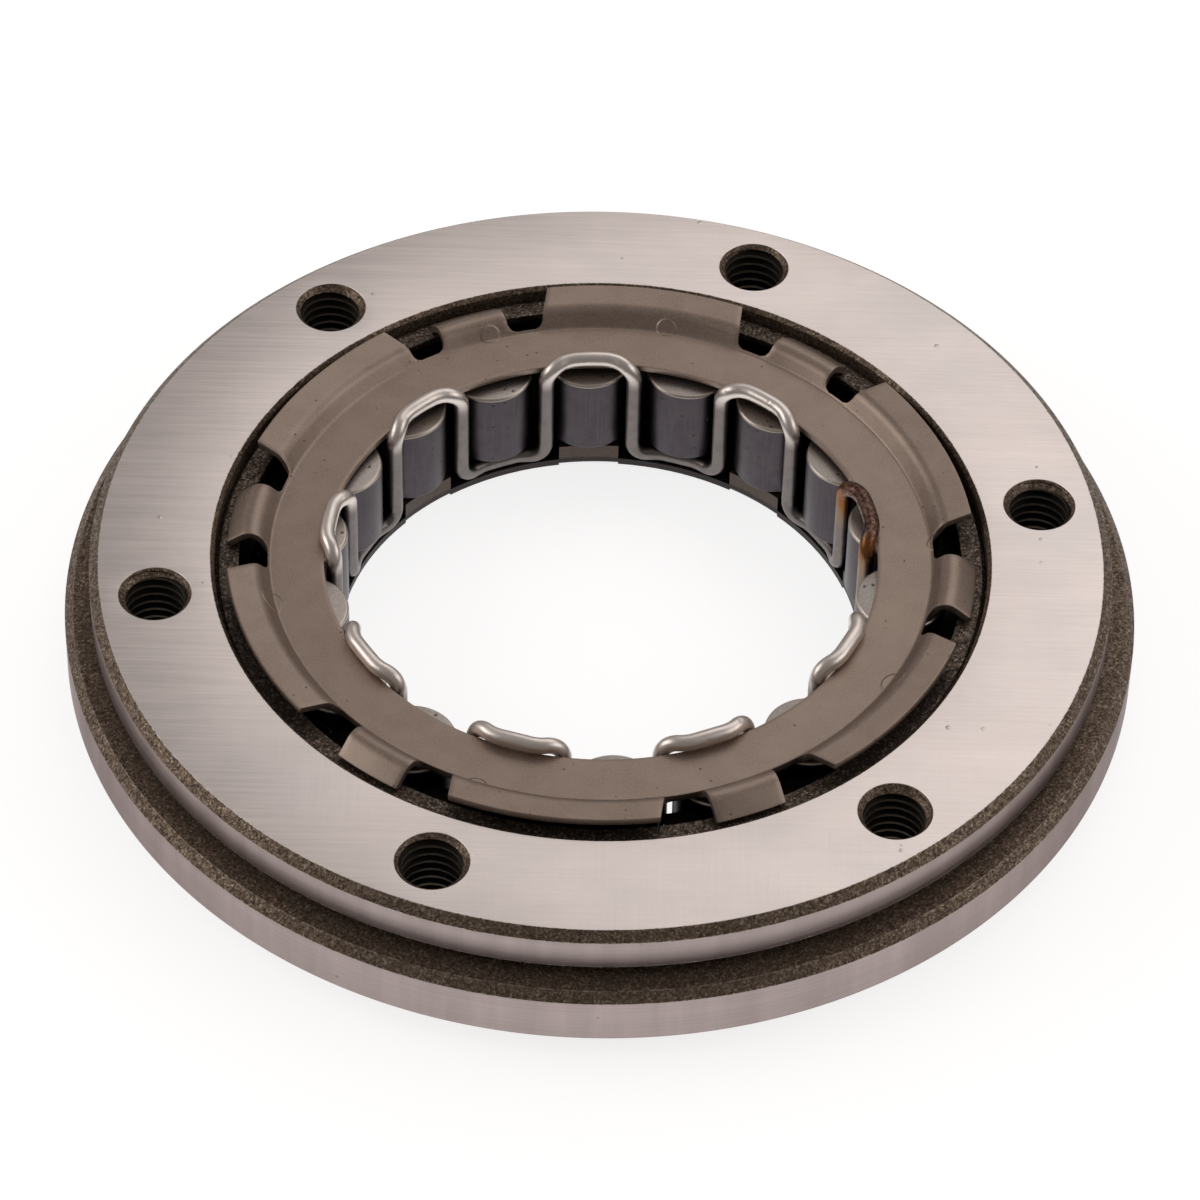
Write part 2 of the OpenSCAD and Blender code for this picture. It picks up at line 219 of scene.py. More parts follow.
def lathe(name, outline, steps, sharp=32.0):
    """A closed (radius, height) outline turned about Z."""
    count = len(outline)
    points = []
    for k in range(steps):
        a = TAU * k / steps
        points += [(r * math.cos(a), r * math.sin(a), z) for r, z in outline]
    faces = []
    for k in range(steps):
        here, there = k * count, (k + 1) % steps * count
        for i in range(count):
            j = (i + 1) % count
            faces.append((here + i, there + i, there + j, here + j))
    return mesh_from(name, points, faces, sharp)


def solid_lathe(name, outline, steps, sharp=32.0):
    """An open outline that starts and ends on the axis, turned into a closed solid."""
    rings = outline[1:-1]
    count = len(rings)
    points = []
    for k in range(steps):
        a = TAU * k / steps
        points += [(r * math.cos(a), r * math.sin(a), z) for r, z in rings]
    faces = []
    for k in range(steps):
        here, there = k * count, (k + 1) % steps * count
        faces += [(here + i, there + i, there + i + 1, here + i + 1) for i in range(count - 1)]
    faces.append([k * count for k in reversed(range(steps))])
    faces.append([k * count + count - 1 for k in range(steps)])
    return mesh_from(name, points, faces, sharp)


def rounded(outline, radii, steps=4, closed=True):
    """The outline with its corners replaced by arcs; a radius of 0 keeps a corner."""
    result = []
    n = len(outline)
    for i, (corner, r) in enumerate(zip(outline, radii)):
        here = Vector(corner)
        if r <= 0 or (not closed and i in (0, n - 1)):
            result.append(tuple(here))
            continue
        u = (here - Vector(outline[i - 1])).normalized()
        v = (Vector(outline[(i + 1) % n]) - here).normalized()
        turn = u.angle(v)
        if turn < 1e-4:
            result.append(tuple(here))
            continue
        side = 1 if u.x * v.y - u.y * v.x > 0 else -1
        normal = Vector((-u.y, u.x)) * side
        start = here - u * r * math.tan(turn / 2)
        for k in range(steps + 1):
            t = turn * k / steps
            result.append(tuple(start + u * r * math.sin(t) + normal * r * (1 - math.cos(t))))
    return result


def cut(obj, tool):
    """Cuts the tool out of obj and removes the tool."""
    modifier = obj.modifiers.new("cut", "BOOLEAN")
    modifier.operation = "DIFFERENCE"
    modifier.solver = "MANIFOLD"
    modifier.object = tool
    apply_modifiers(obj)
    bpy.data.objects.remove(tool)


def apply_modifiers(obj):
    """Bakes the modifiers into the mesh of obj."""
    graph = bpy.context.evaluated_depsgraph_get()
    graph.update()
    mesh = bpy.data.meshes.new_from_object(obj.evaluated_get(graph))
    obj.modifiers.clear()
    obj.data = mesh


def bevel(obj, width, segments=2, angle=35.0):
    modifier = obj.modifiers.new("bevel", "BEVEL")
    modifier.width = width * MM
    modifier.segments = segments
    modifier.limit_method = "ANGLE"
    modifier.angle_limit = math.radians(angle)
    modifier.harden_normals = False
    apply_modifiers(obj)
    finish_mesh(obj.data)


# Shader nodes
class Shader:
    """Short calls for building the nodes of one material or world."""

    def __init__(self, tree):
        self.tree = tree
        tree.nodes.clear()

    def node(self, kind, **inputs):
        made = self.tree.nodes.new(kind)
        for key, value in inputs.items():
            self.feed(made, key.replace("_", " "), value)
        return made

    def feed(self, node, key, value):
        socket = node.inputs[int(key)] if key.isdigit() else node.inputs[key]
        if hasattr(value, "is_output"):
            self.tree.links.new(value, socket)
        else:
            socket.default_value = value

    def math(self, operation, *values, clamp=False):
        made = self.tree.nodes.new("ShaderNodeMath")
        made.operation = operation
        made.use_clamp = clamp
        for i, value in enumerate(values):
            self.feed(made, str(i), value)
        return made.outputs[0]

    def vector_math(self, operation, *values, output=0):
        made = self.tree.nodes.new("ShaderNodeVectorMath")
        made.operation = operation
        for i, value in enumerate(values):
            self.feed(made, str(i), value)
        return made.outputs[output]

    def mix(self, factor, a, b, blend="MIX"):
        made = self.tree.nodes.new("ShaderNodeMix")
        made.data_type = "RGBA"
        made.blend_type = blend
        self.feed(made, "0", factor)
        self.feed(made, "6", a)
        self.feed(made, "7", b)
        return made.outputs[2]

    def blend(self, factor, a, b):
        made = self.tree.nodes.new("ShaderNodeMix")
        self.feed(made, "0", factor)
        self.feed(made, "2", a)
        self.feed(made, "3", b)
        return made.outputs[0]

    def step(self, value, low, high, soft=True):
        """0 below low and 1 above high."""
        made = self.tree.nodes.new("ShaderNodeMapRange")
        made.interpolation_type = "SMOOTHSTEP" if soft else "LINEAR"
        for key, v in (("Value", value), ("From Min", low), ("From Max", high)):
            self.feed(made, key, v)
        return made.outputs[0]

    def spread(self, value, low, high, to_low, to_high):
        made = self.tree.nodes.new("ShaderNodeMapRange")
        limits = (("From Min", low), ("From Max", high), ("To Min", to_low), ("To Max", to_high))
        for key, v in (("Value", value), *limits):
            self.feed(made, key, v)
        return made.outputs[0]

    def noise(self, at, scale, detail=2.0, rough=0.5, distortion=0.0):
        made = self.node("ShaderNodeTexNoise", Vector=at, Scale=scale, Detail=detail, Roughness=rough,
                         Distortion=distortion)
        return made.outputs["Fac"]

    def cells(self, at, scale, feature="F1", randomness=1.0):
        made = self.tree.nodes.new("ShaderNodeTexVoronoi")
        made.feature = feature
        for key, v in (("Vector", at), ("Scale", scale), ("Randomness", randomness)):
            self.feed(made, key, v)
        return made

    def stretched(self, at, scale, turn=0.0):
        """The point turned about Z by turn degrees, then scaled along each axis."""
        made = self.tree.nodes.new("ShaderNodeMapping")
        made.vector_type = "POINT"
        self.feed(made, "Vector", at)
        self.feed(made, "Rotation", (0.0, 0.0, math.radians(turn)))
        self.feed(made, "Scale", scale)
        return made.outputs[0]

    def axis(self, at, index):
        """One coordinate of a vector."""
        return self.node("ShaderNodeSeparateXYZ", Vector=at).outputs[index]

    def chances(self, cell):
        """Three random numbers for each cell."""
        return self.node("ShaderNodeSeparateColor", Color=cell.outputs["Color"]).outputs

    def bump(self, height, distance, strength=1.0, normal=None):
        made = self.node("ShaderNodeBump", Height=height, Distance=distance, Strength=strength)
        if normal is not None:
            self.feed(made, "Normal", normal)
        return made.outputs[0]

    def place(self):
        """Object position in millimetres."""
        coordinates = self.tree.nodes.new("ShaderNodeTexCoord")
        made = self.tree.nodes.new("ShaderNodeVectorMath")
        made.operation = "SCALE"
        self.tree.links.new(coordinates.outputs["Object"], made.inputs[0])
        made.inputs["Scale"].default_value = 1 / MM
        return made.outputs[0]

    def polar(self, at):
        """Radius, height, and a vector of the arc length round the axis, the height and the radius."""
        parts = self.node("ShaderNodeSeparateXYZ", Vector=at)
        x, y, z = parts.outputs
        square = self.math("ADD", self.math("MULTIPLY", x, x), self.math("MULTIPLY", y, y))
        radius = self.math("SQRT", square)
        arc = self.math("MULTIPLY", self.math("ARCTAN2", y, x), FLANGE_R)
        return radius, z, self.node("ShaderNodeCombineXYZ", X=arc, Y=z, Z=radius).outputs[0]

    def both(self, *masks):
        result = masks[0]
        for mask in masks[1:]:
            result = self.math("MULTIPLY", result, mask)
        return result

    def either(self, *masks):
        result = masks[0]
        for mask in masks[1:]:
            result = self.math("MAXIMUM", result, mask)
        return result


def material(name, build):
    """A node material whose surface is a principled shader fed by build."""
    made = bpy.data.materials.new(name)
    made.use_nodes = True
    shader = Shader(made.node_tree)
    surface = shader.node("ShaderNodeBsdfPrincipled")
    output = shader.node("ShaderNodeOutputMaterial")
    build(shader, surface)
    made.node_tree.links.new(surface.outputs[0], output.inputs["Surface"])
    return made


def grain(shader, at, size):
    """Crystals of the phosphate coat: height and sparkle at this grain size in millimetres."""
    crystals = shader.cells(at, 1.0 / size)
    chance = shader.chances(crystals)
    coarse = shader.noise(at, 0.5 / size, 3.0, 0.6)
    facet = shader.math("MULTIPLY", chance[0], 0.7)
    height = shader.math("ADD", facet, shader.math("MULTIPLY", coarse, 0.9))
    sparkle = shader.both(shader.step(chance[1], 0.80, 0.84), shader.step(coarse, 0.35, 0.55))
    return height, sparkle


def droplets(shader, at, size, share):
    """Heights of small round oil drops, about size millimetres apart, in this share of the cells."""
    cell = shader.cells(at, 1.0 / size)
    chance = shader.chances(cell)
    radius = shader.spread(chance[1], 0.0, 1.0, 0.09, 0.17)
    dome = shader.math("SUBTRACT", 1.0, shader.math("DIVIDE", cell.outputs["Distance"], radius), clamp=True)
    dome = shader.math("POWER", dome, 0.6)
    cluster = shader.step(shader.noise(at, 0.06, 2.0), 0.42, 0.62)
    picked = shader.step(chance[0], 1.0 - share, 1.0 - share + 0.01)
    return shader.both(dome, picked, cluster)


def hole_distance(shader, at, radius):
    """Distance from the axis of the nearest tapped hole."""
    x, y = shader.axis(at, 0), shader.axis(at, 1)
    turn = TAU / BOLT_COUNT
    angle = shader.math("ADD", shader.math("ARCTAN2", y, x), 2 * TAU + turn / 2 - math.radians(BOLT_ANGLE))
    angle = shader.math("SUBTRACT", shader.math("MODULO", angle, turn), turn / 2)
    along = shader.math("MULTIPLY", radius, shader.math("COSINE", angle))
    along = shader.math("SUBTRACT", along, BOLT_CIRCLE_R)
    across = shader.math("MULTIPLY", radius, shader.math("SINE", angle))
    along = shader.math("MULTIPLY", along, along)
    return shader.math("SQRT", shader.math("ADD", along, shader.math("MULTIPLY", across, across)))


def ground_masks(shader, at, radius, height):
    """Where the housing is bare steel: the top face, the two sides, and all its bare faces."""
    ragged = shader.math("MULTIPLY", shader.math("SUBTRACT", shader.noise(at, 2.6, 3.0, 0.7), 0.5), 0.34)
    inner = shader.math("SUBTRACT", radius, shader.math("ADD", ragged, BORE_R + BORE_BEVEL - 0.02))
    outer = shader.math("SUBTRACT", shader.math("ADD", ragged, BOSS_R - BOSS_BEVEL + 0.02), radius)
    ragged_height = shader.math("ADD", height, ragged)
    face = shader.both(
        shader.step(height, HOUSING_H - 0.05, HOUSING_H - 0.02),
        shader.step(inner, -0.05, 0.05),
        shader.step(outer, -0.05, 0.05),
    )
    boss_side = shader.both(
        shader.step(radius, BOSS_R - 0.05, BOSS_R - 0.02),
        shader.step(ragged_height, GROOVE_TOP + 0.02, GROOVE_TOP + 0.16),
        shader.step(ragged_height, HOUSING_H - BOSS_BEVEL + 0.14, HOUSING_H - BOSS_BEVEL),
        shader.step(radius, BOSS_R + 0.3, BOSS_R + 0.2),
    )
    flange_side = shader.both(
        shader.step(radius, FLANGE_R - 0.05, FLANGE_R - 0.02),
        shader.step(ragged_height, FLANGE_RISE + 0.1, FLANGE_RISE + 0.35),
        shader.step(ragged_height, FLANGE_TOP - FLANGE_BEVEL + 0.08, FLANGE_TOP - FLANGE_BEVEL - 0.06),
    )
    rear = shader.step(height, 0.05, 0.01)
    side = shader.either(boss_side, flange_side)
    return face, side, shader.either(face, side, rear)


def ground_steel(shader, at, round_at, side):
    """Bare steel with grinding lines: straight across the faces, round about on the sides."""
    across = shader.noise(shader.stretched(at, (0.060, 3.4, 1.0), 2.0), 1.0, 4.0, 0.75)
    second = shader.noise(shader.stretched(at, (0.045, 2.1, 1.0), -4.0), 1.0, 3.0, 0.7)
    along = shader.noise(shader.stretched(at, (1.9, 0.05, 1.0), 3.0), 1.0, 4.0, 0.75)
    patch = shader.step(shader.noise(at, 0.05, 2.0), 0.42, 0.60)
    near = shader.step(shader.axis(at, 1), -14.0, -40.0)
    cloud = shader.noise(shader.stretched(at, (0.05, 0.16, 0.1), 12.0), 1.0, 3.0, 0.6)
    turned = shader.noise(shader.stretched(round_at, (0.02, 6.0, 1.0)), 1.0, 3.0, 0.7)
    bands = shader.noise(shader.stretched(round_at, (0.28, 0.02, 1.0)), 1.0, 3.0, 0.6)
    crossed = shader.math("MULTIPLY", near, shader.math("MULTIPLY", patch, 0.45))
    straight = shader.blend(shader.math("MULTIPLY", patch, 0.5), across, second)
    straight = shader.blend(crossed, straight, along)
    lines = shader.blend(side, straight, turned)
    bright = shader.spread(lines, 0.35, 0.65, 0.89, 1.09)
    bright = shader.math("MULTIPLY", bright, shader.spread(cloud, 0.3, 0.7, 0.96, 1.04))
    banded = shader.blend(side, 1.0, shader.spread(bands, 0.3, 0.7, 0.90, 1.10))
    bright = shader.math("MULTIPLY", bright, banded)
    stain = shader.step(shader.noise(at, 0.09, 4.0, 0.6), 0.35, 0.75)
    steel = shader.mix(stain, STEEL, STAINED_STEEL)
    # turned sides: darker steel, their finish and also painted shade against the floor they mirror
    steel = shader.mix(side, steel, SHADED_TURNED_STEEL)
    steel = shader.vector_math("SCALE", steel)
    shader.feed(steel.node, "Scale", bright)
    pocks = shader.cells(at, 0.32)
    pock = shader.both(side, shader.step(pocks.outputs["Distance"], 0.09, 0.03),
                       shader.step(shader.noise(at, 0.37, 1.0), 0.54, 0.60))
    steel = shader.mix(shader.math("MULTIPLY", pock, 0.65), steel, POCK_BROWN)
    return steel, lines


def phosphate(shader, at, radius, height):
    """Grainy coat, a bare edge with painted highlight on the flange front, painted shade in the holes."""
    # painted highlight: a light line on the flange's upper edge, front half only, over a bare edge
    burr_and_highlight = shader.both(
        shader.step(radius, FLANGE_R - FLANGE_BEVEL - 0.10, FLANGE_R - FLANGE_BEVEL - 0.04),
        shader.step(radius, FLANGE_R - FLANGE_BEVEL + 0.10, FLANGE_R - FLANGE_BEVEL + 0.04),
        shader.step(shader.noise(at, 1.1, 3.0, 0.7), 0.40, 0.62),
        shader.step(shader.axis(at, 1), -8.0, -36.0),
    )
    height_map, sparkle = grain(shader, at, 0.21)
    coat = shader.mix(shader.step(height_map, 0.30, 1.30), COAT_DARK, COAT_LIGHT)
    coat = shader.mix(shader.math("MULTIPLY", sparkle, 0.45), coat, COAT_SPARKLE)
    coat = shader.mix(shader.math("MULTIPLY", burr_and_highlight, 0.5), coat, BURR_HIGHLIGHT_STEEL)
    hole = hole_distance(shader, at, radius)
    # painted shade: near black down the tapped holes, with painted glints on the crests
    thread = shader.both(
        shader.step(hole, 4.2, 4.1),
        shader.step(height, HOUSING_H - 0.78, HOUSING_H - 0.85),
    )
    crest = shader.step(hole, TAP_R + 0.03, TAP_R + 0.01)
    hole_shade = shader.mix(crest, THREAD_SHADE, THREAD_CREST_GLINT)
    return shader.mix(thread, coat, hole_shade), height_map


def housing_look(shader, surface):
    """Steel where the housing is ground or turned, grainy coat elsewhere, and oil droplets on top."""
    at = shader.place()
    radius, height, round_at = shader.polar(at)
    face, side, ground = ground_masks(shader, at, radius, height)
    steel, lines = ground_steel(shader, at, round_at, side)
    coat, height_map = phosphate(shader, at, radius, height)
    shader.feed(surface, "Base Color", shader.mix(ground, coat, steel))
    shader.feed(surface, "Metallic", shader.blend(ground, 0.75, 1.0))
    shader.feed(surface, "Specular Tint", shader.mix(side, WHITE, TURNED_EDGE))
    ground_rough = shader.spread(lines, 0.35, 0.65, 0.30, 0.38)
    coat_rough = shader.spread(height_map, 0.4, 1.2, 0.62, 0.42)
    shader.feed(surface, "Roughness", shader.blend(ground, coat_rough, ground_rough))
    fine = shader.bump(shader.blend(ground, 0.5, lines), 0.006 * MM)
    fine = shader.bump(shader.blend(ground, height_map, 0.5), 0.05 * MM, 0.8, fine)
    drops = shader.both(face, droplets(shader, at, 1.9, 0.16))
    shader.feed(surface, "Normal", shader.bump(drops, 0.10 * MM, 1.0, fine))


def race_look(shader, surface):
    """The race's grainy coat, with painted shade, near black, down in the pockets."""
    at = shader.place()
    height_map, sparkle = grain(shader, at, 0.22)
    coat = shader.mix(shader.step(height_map, 0.30, 1.30), RACE_DARK, RACE_LIGHT)
    coat = shader.mix(shader.math("MULTIPLY", sparkle, 0.5), coat, RACE_SPARKLE)
    height = shader.axis(at, 2)
    # painted shade: near black below the ledge, down in the pockets
    pocket_shade = shader.step(height, LEDGE_Z - 0.5, LEDGE_Z - 1.0)
    shader.feed(surface, "Base Color", shader.mix(pocket_shade, coat, POCKET_SHADE))
    shader.feed(surface, "Metallic", 0.75)
    shader.feed(surface, "Roughness", shader.spread(height_map, 0.4, 1.2, 0.58, 0.38))
    shader.feed(surface, "Normal", shader.bump(height_map, 0.05 * MM, 0.9))


def sheet_look(shader, surface):
    """Upper plate: mottled dark sheet with small pits."""
    at = shader.place()
    mottle = shader.noise(at, 0.30, 4.0, 0.6)
    fine = shader.noise(at, 4.0, 4.0, 0.7)
    coat = shader.mix(shader.step(mottle, 0.3, 0.72), SHEET_DARK, SHEET_LIGHT)
    coat = shader.mix(shader.step(fine, 0.35, 0.70), coat, SHEET_FLECK)
    pits = shader.cells(at, 0.85)
    chance = shader.chances(pits)
    away = pits.outputs["Distance"]
    pit = shader.both(shader.step(away, 0.13, 0.05), shader.step(chance[0], 0.78, 0.80))
    coat = shader.mix(shader.math("MULTIPLY", pit, 0.60), coat, SHEET_PIT)
    grit = shader.both(shader.step(away, 0.10, 0.04), shader.step(chance[1], 0.90, 0.91))
    coat = shader.mix(grit, coat, SHEET_GRIT)
    marks = press_marks(shader, at)
    shader.feed(surface, "Base Color", coat)
    shader.feed(surface, "Metallic", 0.88)
    shader.feed(surface, "Roughness", shader.spread(fine, 0.3, 0.7, 0.38, 0.50))
    normal = shader.bump(fine, 0.016 * MM, 0.8)
    normal = shader.bump(shader.math("SUBTRACT", grit, pit), 0.08 * MM, 0.8, normal)
    normal = shader.bump(marks, 0.10 * MM, 1.0, normal)
    shader.feed(surface, "Normal", normal)


def lower_sheet_look(shader, surface):
    """Lower plate: dull sheet, with painted shade darkening its foot."""
    at = shader.place()
    height = shader.axis(at, 2)
    fine = shader.noise(at, 3.0, 4.0, 0.7)
    coat = shader.mix(shader.step(fine, 0.3, 0.7), LOWER_DARK, LOWER_LIGHT)
    # painted shade: the sheet turns near black towards its foot, under the rollers
    oil = shader.math("ADD", height, shader.math("MULTIPLY", shader.noise(at, 0.8, 2.0), 0.5))
    coat = shader.mix(shader.step(oil, 1.7, 1.2), coat, LOWER_FOOT_SHADE)
    shader.feed(surface, "Base Color", coat)
    shader.feed(surface, "Metallic", 0.88)
    shader.feed(surface, "Roughness", shader.spread(fine, 0.3, 0.7, 0.42, 0.55))
    shader.feed(surface, "Normal", shader.bump(fine, 0.02 * MM, 0.8))


def press_marks(shader, at):
    """Shallow discs that the press left where the ring turns up into the tabs."""
    marks = 0.0
    for turn, radius in PRESS_MARKS:
        a = math.radians(turn)
        middle = (PRESS_MARK_R * math.cos(a), PRESS_MARK_R * math.sin(a), UPPER_Z)
        away = shader.vector_math("DISTANCE", at, middle, output=1)
        mark = shader.step(away, radius, radius - 0.22)
        marks = mark if marks == 0.0 else shader.math("MAXIMUM", marks, mark)
    return marks


def wire_look(shader, surface):
    """Bright wire: painted highlight on the upper runs, painted shade below, one upper run tinted by heat.
    """
    at = shader.place()
    draw = shader.noise(at, 0.8, 4.0, 0.6)
    turn = math.radians(ROLLER_ANGLE)
    weld = (WIRE_TOP_R * math.cos(turn), WIRE_TOP_R * math.sin(turn), WIRE_TOP_Z)
    away = shader.vector_math("DISTANCE", at, weld, output=1)
    away = shader.math("ADD", away, shader.math("MULTIPLY", shader.math("SUBTRACT", draw, 0.5), 2.6))
    # painted shade: the wire below its upper runs takes a dark steel
    steel = shader.mix(shader.step(draw, 0.3, 0.7), WIRE_SHADE_DARK, WIRE_SHADE_LIGHT)
    height = shader.axis(at, 2)
    # painted highlight: the upper runs take a much lighter steel
    top_highlight = shader.step(height, UPPER_Z - 2.5, UPPER_Z + 0.5)
    steel = shader.mix(top_highlight, steel, WIRE_TOP_HIGHLIGHT)
    straw = shader.mix(shader.step(away, 9.5, 7.0), steel, TINT_STRAW)
    orange = shader.mix(shader.step(away, 7.4, 5.6), straw, TINT_ORANGE)
    scale = shader.step(shader.noise(at, 1.9, 4.0, 0.7), 0.42, 0.60)
    brown = shader.mix(scale, SCALE_DARK, SCALE_LIGHT)
    tint = shader.mix(shader.step(away, 5.8, 4.0), orange, brown)
    shader.feed(surface, "Base Color", tint)
    shader.feed(surface, "Metallic", 1.0)
    shader.feed(surface, "Roughness", shader.spread(draw, 0.3, 0.7, 0.33, 0.42))
    dent = shader.cells(at, 0.55)
    chance = shader.chances(dent)
    pit = shader.both(shader.step(dent.outputs["Distance"], 0.22, 0.10), shader.step(chance[0], 0.62, 0.64))
    relief = shader.bump(shader.noise(at, 0.9, 2.0, 0.5), 0.03 * MM, 0.5)
    shader.feed(surface, "Normal", shader.bump(shader.math("SUBTRACT", 1.0, pit), 0.05 * MM, 0.6, relief))


def roller_look(shader, surface):
    """Turned ends, streaked sides painted dark as shade, and a painted highlight round the upper rim."""
    at = shader.place()
    height = shader.axis(at, 2)
    end = shader.step(height, ROLLER_TOP - 0.06, ROLLER_TOP - 0.02)
    cloud = shader.noise(at, 0.5, 3.0, 0.6)
    streak = shader.noise(shader.stretched(at, (3.0, 3.0, 0.16)), 1.0, 3.0, 0.6)
    # painted shade: the sides are near black, far darker than the ends of the same steel
    side = shader.mix(shader.step(cloud, 0.3, 0.7), ROLLER_SHADE_DARK, ROLLER_SHADE_LIGHT)
    side = shader.mix(shader.step(streak, 0.42, 0.8), side, ROLLER_SHADE_STREAK)
    rough_end = shader.noise(at, 3.4, 4.0, 0.7)
    face = shader.mix(shader.step(rough_end, 0.35, 0.7), END_DARK, END_LIGHT)
    pits = shader.cells(at, 0.9)
    chance = shader.chances(pits)
    pit = shader.both(shader.step(pits.outputs["Distance"], 0.24, 0.08), shader.step(chance[0], 0.80, 0.82))
    tone = shader.mix(end, side, face)
    radius = shader.polar(at)[0]
    # painted highlight: a light ring round the rounded upper edge
    rim = shader.both(
        shader.step(radius, ROLLER_R - 0.38, ROLLER_R - 0.28),
        shader.step(height, ROLLER_TOP - 0.38, ROLLER_TOP - 0.28),
    )
    tone = shader.mix(rim, tone, ROLLER_RIM_HIGHLIGHT)
    shader.feed(surface, "Base Color", shader.mix(shader.math("MULTIPLY", pit, 0.7), tone, ROLLER_PIT))
    shader.feed(surface, "Metallic", 1.0)
    shader.feed(surface, "Roughness", shader.blend(end, shader.spread(streak, 0.3, 0.7, 0.34, 0.40), 0.42))
    depth = shader.blend(end, 0.003 * MM, 0.012 * MM)
    relief = shader.bump(shader.blend(end, streak, rough_end), depth, 0.8)
    relief = shader.bump(shader.math("SUBTRACT", 1.0, pit), 0.06 * MM, 0.8, relief)
    shader.feed(surface, "Normal", shader.bump(droplets(shader, at, 1.3, 0.12), 0.08 * MM, 0.9, relief))


def spring_look(shader, surface):
    """Plain strip of bright steel, painted dark as shade deep in the race."""
    at = shader.place()
    # painted shade: the strip is dark all over, as it sits down in the race
    shader.feed(surface, "Base Color", shader.mix(shader.noise(at, 1.2, 3.0), SPRING_SHADE_DARK, SPRING_SHADE_LIGHT))
    shader.feed(surface, "Metallic", 1.0)
    shader.feed(surface, "Roughness", 0.38)


# Housing
def housing_outline():
    """The housing's profile as radius and height, with rounded corners."""
    corners = [
        ((LIP_R, 0.0), 0.1),
        ((LOWER_BOSS_R - LOWER_CHAMFER, 0.0), 0.1),
        ((LOWER_BOSS_R, LOWER_CHAMFER), 0.1),
        ((LOWER_BOSS_R, FLANGE_RISE), 0.25),
        ((FLANGE_R - LOWER_FLANGE_BEVEL, FLANGE_RISE), 0.06),
        ((FLANGE_R, FLANGE_RISE + LOWER_FLANGE_BEVEL), 0.06),
        ((FLANGE_R, FLANGE_TOP - FLANGE_BEVEL), 0.08),
        ((FLANGE_R - FLANGE_BEVEL, FLANGE_TOP), 0.08),
        ((GROOVE_R, FLANGE_TOP), GROOVE_FILLET),
        ((GROOVE_R, GROOVE_TOP), GROOVE_FILLET),
        ((BOSS_R, GROOVE_TOP), 0.08),
        ((BOSS_R, HOUSING_H - BOSS_BEVEL_H), 0.07),
        ((BOSS_R - BOSS_BEVEL, HOUSING_H), 0.05),
        ((BORE_R + BORE_BEVEL, HOUSING_H), 0.04),
        ((BORE_R, HOUSING_H - BORE_BEVEL), 0.05),
        ((BORE_R, LIP_H), 0.0),
        ((LIP_R, LIP_H), 0.05),
    ]
    return rounded([c for c, r in corners], [r for c, r in corners])


def tap(steps=56):
    """The shape that a tap leaves: a screw that runs past both faces of the flange."""
    flank = (THREAD_R - TAP_R) * math.tan(math.radians(30))
    land = THREAD_PITCH / 4
    rows = [
        (TAP_R, 0.0),
        (TAP_R, land),
        (THREAD_R, land + flank),
        (THREAD_R, THREAD_PITCH - flank),
    ]
    low, high = FLANGE_RISE - 2 * THREAD_PITCH, HOUSING_H + 2 * THREAD_PITCH
    turns = math.ceil((high - low) / THREAD_PITCH)
    per_turn = len(rows)
    column = per_turn * turns
    tall = column + per_turn + 1
    points = []
    for k in range(steps):
        a = TAU * k / steps
        for j in range(tall):
            r, dz = rows[j % per_turn]
            z = low + THREAD_PITCH * (j // per_turn + k / steps) + dz
            points.append((r * math.cos(a), r * math.sin(a), z))
    faces = []
    for k in range(steps):
        wrap = k == steps - 1
        there, lift = (0, per_turn) if wrap else ((k + 1) * tall, 0)
        for j in range(column):
            i = k * tall + j
            m = there + j + lift
            faces.append((i, m, m + 1, i + 1))
    points.append((0.0, 0.0, low - THREAD_PITCH))
    points.append((0.0, 0.0, high + 3 * THREAD_PITCH))
    bottom, top = len(points) - 2, len(points) - 1
    low_loop = [k * tall for k in range(steps)] + list(range(per_turn, 0, -1))
    high_loop = [k * tall + column for k in range(steps)] + list(range(column + per_turn, column, -1))
    for i, loop in enumerate((low_loop, high_loop)):
        for a, b in zip(loop, loop[1:] + loop[:1]):
            faces.append((a, bottom, b) if i == 0 else (a, b, top))
    return points, faces


def make_housing():
    """Turned body, the mouths of its six holes and the threads inside them."""
    body = add_object("housing_body_shell", lathe("housing_body_shell", housing_outline(), 720))
    cone = []
    cone_faces = []
    screw_points, screw_faces = tap()
    screws = []
    screws_faces = []
    rim = 64
    for i in range(BOLT_COUNT):
        a = math.radians(BOLT_ANGLE + i * 360 / BOLT_COUNT)
        x, y = BOLT_CIRCLE_R * math.cos(a), BOLT_CIRCLE_R * math.sin(a)
        base = len(cone)
        depth = MOUTH_R - TAP_R + 0.3
        for r, z in ((TAP_R - 0.3, HOUSING_H - depth), (MOUTH_R, HOUSING_H), (MOUTH_R, HOUSING_H + 1.0)):
            for k in range(rim):
                cone.append((x + r * math.cos(TAU * k / rim), y + r * math.sin(TAU * k / rim), z))
        for row in range(2):
            for k in range(rim):
                m = (k + 1) % rim
                low, high = base + row * rim, base + (row + 1) * rim
                cone_faces.append((low + k, low + m, high + m, high + k))
        cone_faces.append([base + k for k in reversed(range(rim))])
        cone_faces.append([base + 2 * rim + k for k in range(rim)])
        base = len(screws)
        turned = TAU * (0.13 + 0.37 * i)
        for px, py, pz in screw_points:
            screws.append((x + px * math.cos(turned) - py * math.sin(turned),
                           y + px * math.sin(turned) + py * math.cos(turned), pz))
        screws_faces += [tuple(base + v for v in f) for f in screw_faces]
    cut(body, add_object("cones", mesh_from("cones", cone, cone_faces)))
    cut(body, add_object("screws", mesh_from("screws", screws, screws_faces)))
    finish_mesh(body.data, 30.0)
    return body


